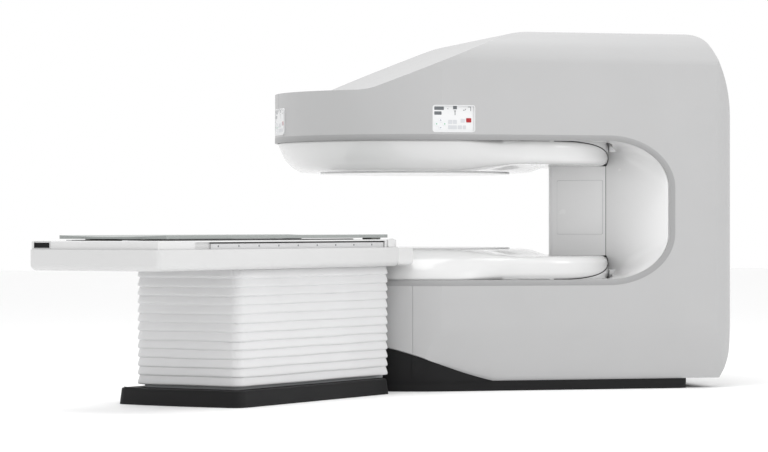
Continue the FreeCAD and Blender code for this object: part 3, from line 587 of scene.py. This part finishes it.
for where in FACE_TURN:
    for kind, spots, paint, depth, edge in (
            ("pad", PADS, pad_film, 0.0004, 0.0025), ("mark", MARKS, display_dark, 0.0002, 0.0012)):
        for number, (a0, u0, a1, u1) in enumerate(spots):
            bm = panel_block((a0 / 1000, -FACE - depth, PANEL_MIDDLE + u0 / 1000),
                             (a1 / 1000, -FACE + 0.0005, PANEL_MIDDLE + u1 / 1000), edge)
            to_panel(bm, where)
            piece(f"{where}_{kind}_{number}", bm, paint, "gantry")
    for key, (across, up, turn) in ARROWS.items():
        bm = bmesh.new()
        bmesh.ops.create_cone(bm, cap_ends=True, segments=3, radius1=0.0052, radius2=0.0050,
                              depth=0.0006)
        bmesh.ops.rotate(bm, cent=(0, 0, 0), verts=bm.verts,
                         matrix=Matrix.Rotation(math.radians(90), 3, "X"))
        bmesh.ops.rotate(bm, cent=(0, 0, 0), verts=bm.verts,
                         matrix=Matrix.Rotation(math.radians(-turn), 3, "Y"))
        bmesh.ops.translate(bm, verts=bm.verts, vec=(
            across / 1000, -FACE - CAP_PROUD, PANEL_MIDDLE + up / 1000))
        to_panel(bm, where)
        paint = key_green if key in ("left_key", "right_key") else key_grey
        piece(f"{where}_{key}_arrow", bm, paint, f"{where}_{key}_body")

# ---- bellows -----------------------------------------------------------------------------

BELLOWS_X = (-2.146, -0.758)
BELLOWS_HALF = 0.293
BELLOWS_Z = (0.090, 0.6275)
PLEATS = 13
PLEAT_DEPTH = 0.0075
CLOTH = 0.002
PLEAT_FORM = [  # height within a pleat, and how far it is drawn in, from one pinch to the next
    (0.0, 1.0), (0.07, 0.35), (0.14, 0.06), (0.22, 0.0), (0.36, 0.07), (0.55, 0.28),
    (0.76, 0.55), (0.92, 0.80),
]


def bellows_skin():
    """Coated cloth in soft pleats: each one bulges out and is pinched between its folds."""
    bm = block((BELLOWS_X[0], -BELLOWS_HALF, BELLOWS_Z[0]),
               (BELLOWS_X[1], BELLOWS_HALF, BELLOWS_Z[0] + 0.001))
    ease(bm, [e for e in bm.edges if abs(run_of(e).z) > 0.9], 0.05, 8)
    caps = [f for f in bm.faces if abs(f.normal.z) > 0.9]
    bmesh.ops.delete(bm, geom=caps, context="FACES_ONLY")
    long_edges = [e for e in bm.edges if e.calc_length() > 0.3 and abs(run_of(e).z) < 0.1]
    bmesh.ops.subdivide_edges(bm, edges=long_edges, cuts=14, use_grid_fill=True)
    low = [v for v in bm.verts if v.co.z < BELLOWS_Z[0] + 0.0005]
    top = [v for v in bm.verts if v not in low]
    bmesh.ops.delete(bm, geom=top, context="VERTS")
    start = low[0]
    loop = [start]
    while True:
        nearby = [e.other_vert(loop[-1]) for e in loop[-1].link_edges]
        ahead = [v for v in nearby if v not in loop]
        if not ahead:
            break
        loop.append(ahead[0])
    middle = (BELLOWS_X[0] + BELLOWS_X[1]) / 2
    long_half = (BELLOWS_X[1] - BELLOWS_X[0]) / 2
    flat_spots = [v.co.copy() for v in loop]
    pitch = (BELLOWS_Z[1] - BELLOWS_Z[0]) / PLEATS
    last = PLEATS * len(PLEAT_FORM)

    def spot(row):
        pleat, part = divmod(row, len(PLEAT_FORM))
        rise, inward = PLEAT_FORM[part]
        draw = PLEAT_DEPTH * inward
        height = BELLOWS_Z[0] + pitch * (pleat + rise)

        def at(i):
            p = flat_spots[i]
            wave = math.sin(p.x * 9.1 + pleat * 2.3) + math.sin(p.y * 13.7 + pleat * 1.1 + 2)
            sink = 0 if row in (0, last) else 0.0008 * wave
            return Vector((middle + (p.x - middle) * (1 - draw / long_half),
                           p.y * (1 - draw / BELLOWS_HALF), height + sink))
        return at

    for i, vert in enumerate(loop):
        vert.co = spot(0)(i)
    for row in range(1, last + 1):
        loop = grow(bm, loop, spot(row))
    turn_to_table(bm)
    return piece("bellows_skin", bm, bellows_cloth, "gantry", sharp=75)


skin = bellows_skin()
wall = skin.modifiers.new("cloth", "SOLIDIFY")
wall.thickness = CLOTH
wall.offset = -1
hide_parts("bellows")
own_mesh(skin)

# ---- patient table -------------------------------------------------------------------------

HEAD = -0.787
SHELL = ((HEAD - 2.098, -0.350, 0.628), (HEAD, 0.350, 0.722))
DECK = ((HEAD - 2.083, -0.340, 0.7225), (HEAD - 0.003, 0.340, 0.761))


def table_tray():
    """The table's moulded tray: a shell with round foot corners and a round under its rim."""
    bm = block(*SHELL)
    foot_x = SHELL[0][0]
    bottom = SHELL[0][2]
    corners = [e for e in bm.edges if abs(run_of(e).z) > 0.9 and e.verts[0].co.x < foot_x + 0.01]
    ease(bm, corners, 0.030, 8)
    under = [e for e in bm.edges if max(v.co.z for v in e.verts) < bottom + 0.001
             and min(v.co.x for v in e.verts) < HEAD - 0.01 and len(e.link_faces) == 2]
    ease(bm, under, 0.028, 8)
    lid = [f for f in bm.faces if f.normal.z > 0.9 and f.calc_center_median().z > 0.72]
    bmesh.ops.inset_region(bm, faces=lid, thickness=0.006, depth=0)
    lid = [f for f in bm.faces if f.normal.z > 0.9 and f.calc_area() > 0.5]
    pushed = bmesh.ops.extrude_discrete_faces(bm, faces=lid)
    bmesh.ops.translate(bm, vec=(0, 0, -0.004), verts=pushed["faces"][0].verts)
    turn_to_table(bm)
    made = piece("table_tray", bm, deck_white, "table_top_assembly", sharp=40)
    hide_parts("table_shell")
    return made


table_tray()


def hatch_insert():
    """A black plate with a recessed face, set in the hatch at the deck's foot end."""
    foot_x = DECK[0][0]
    bm = block((foot_x - 0.0008, 0.236, 0.7265), (foot_x + 0.0275, 0.3265, 0.7575))
    face = [f for f in bm.faces if f.normal.x < -0.9]
    bmesh.ops.inset_region(bm, faces=face, thickness=0.003, depth=0)
    inner = max((f for f in bm.faces if f.normal.x < -0.9), key=lambda f: f.calc_area())
    bmesh.ops.translate(bm, vec=(0.004, 0, 0), verts=inner.verts)
    turn_to_table(bm)
    return piece("deck_hatch_black_plate", bm, black_shell, "table_top_assembly")


hatch_insert()


def slot_shadow_strip(name, side):
    """A dark strip in the gap above an accessory rail: painted shade standing in for the slot's
    shadow.
    """
    span = sorted((side * 0.3245, side * 0.3338))
    bm = block((-2.440, span[0], 0.7470), (-0.905, span[1], 0.7538))
    ease(bm, [e for e in bm.edges if abs(run_of(e).x) > 0.9], 0.0008, 2)
    turn_to_table(bm)
    return piece(name, bm, seam_and_shade_black, "table_top_assembly")


slot_shadow_strip("near_slot_shadow_strip", -1)
slot_shadow_strip("far_slot_shadow_strip", 1)


BASE_MIDDLE = 1.54
BASE_HEIGHT = 0.076


def floor_base():
    """The table's floor housing: it leans in towards its top and its foot end is bowed."""
    bm = bmesh.new()
    corners = [(-2.212, -0.345), (-0.844, -0.345), (-0.844, 0.345), (-2.212, 0.345)]
    bow = [(-2.2205, 0.30), (-2.2335, 0.19), (-2.2395, 0.065), (-2.2395, -0.065),
           (-2.2335, -0.19), (-2.2205, -0.30)]
    outline = [bm.verts.new((x, y, 0)) for x, y in corners + bow]
    bm.faces.new(outline)
    bmesh.ops.recalc_face_normals(bm, faces=bm.faces)
    lifted = bmesh.ops.extrude_face_region(bm, geom=list(bm.faces))
    top = [v for v in lifted["geom"] if isinstance(v, bmesh.types.BMVert)]
    bmesh.ops.translate(bm, vec=(0, 0, BASE_HEIGHT), verts=top)
    for vert in top:
        vert.co.x = -BASE_MIDDLE + (vert.co.x + BASE_MIDDLE) * 0.991
        vert.co.y *= 0.978
    sides = [e for e in bm.edges if abs(run_of(e).z) > 0.7 and abs(e.verts[0].co.y) > 0.32]
    ease(bm, sides, 0.05, 6)
    brim = [e for e in bm.edges if min(v.co.z for v in e.verts) > 0.07]
    ease(bm, brim, 0.006, 3)
    turn_to_table(bm)
    made = piece("table_floor_housing", bm, black_shell, "gantry")
    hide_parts("table_base")
    return made


floor_base()

# ---- studio floor --------------------------------------------------------------------------

bm = bmesh.new()
bmesh.ops.create_grid(bm, x_segments=8, y_segments=8, size=40)
floor_mesh = bpy.data.meshes.new("studio_floor")
bm.to_mesh(floor_mesh)
bm.free()
floor_mesh.materials.append(floor_paint)
studio_floor = bpy.data.objects.new("studio_floor", floor_mesh)
bpy.context.scene.collection.objects.link(studio_floor)
